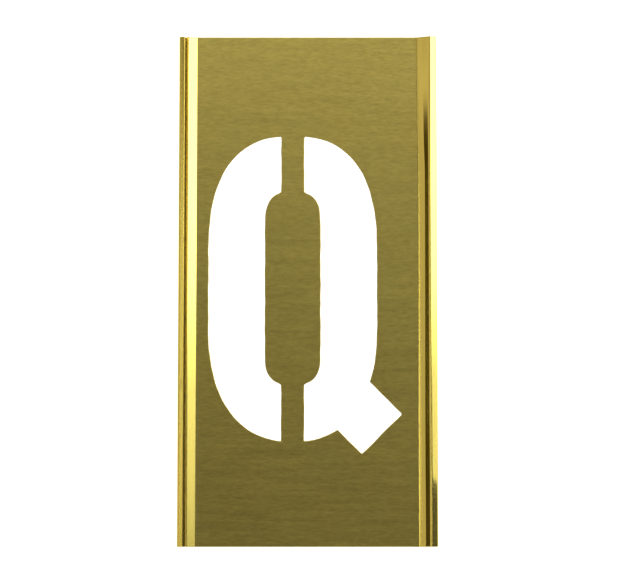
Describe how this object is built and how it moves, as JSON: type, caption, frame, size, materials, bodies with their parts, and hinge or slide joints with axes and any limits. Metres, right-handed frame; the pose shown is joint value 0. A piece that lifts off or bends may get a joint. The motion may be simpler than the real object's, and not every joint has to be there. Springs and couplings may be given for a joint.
{
  "type": "lettering stencil",
  "caption": "Sheet-brass letter stencil: capital Q with a tied counter, and roll-formed long edges that slide-lock to the next plate.",
  "frame": {"origin": "centre of the plate in X and Y, on the plane of its flat back", "axes": "+Z out of the face, +Y towards the letter's top, +X towards the letter's right as it is read"},
  "size_m": [0.0642, 0.127, 0.002],
  "materials": {
    "sheet_face": "matte, fine rolling grain",
    "lock_edge": "burnished by the forming rolls"
  },
  "bodies": {
    "root": {"face_sheet": "sheet_face", "letter_counter": "sheet_face", "upper_tie": "sheet_face", "lower_tie": "sheet_face", "pocket_lip": "lock_edge", "pocket_fold": "lock_edge", "pocket_floor": "lock_edge", "rib": "lock_edge", "hook_lip": "lock_edge", "hook_wall": "lock_edge", "hook_roof": "lock_edge", "hook_ramp": "lock_edge"}
  },
  "joints": []
}
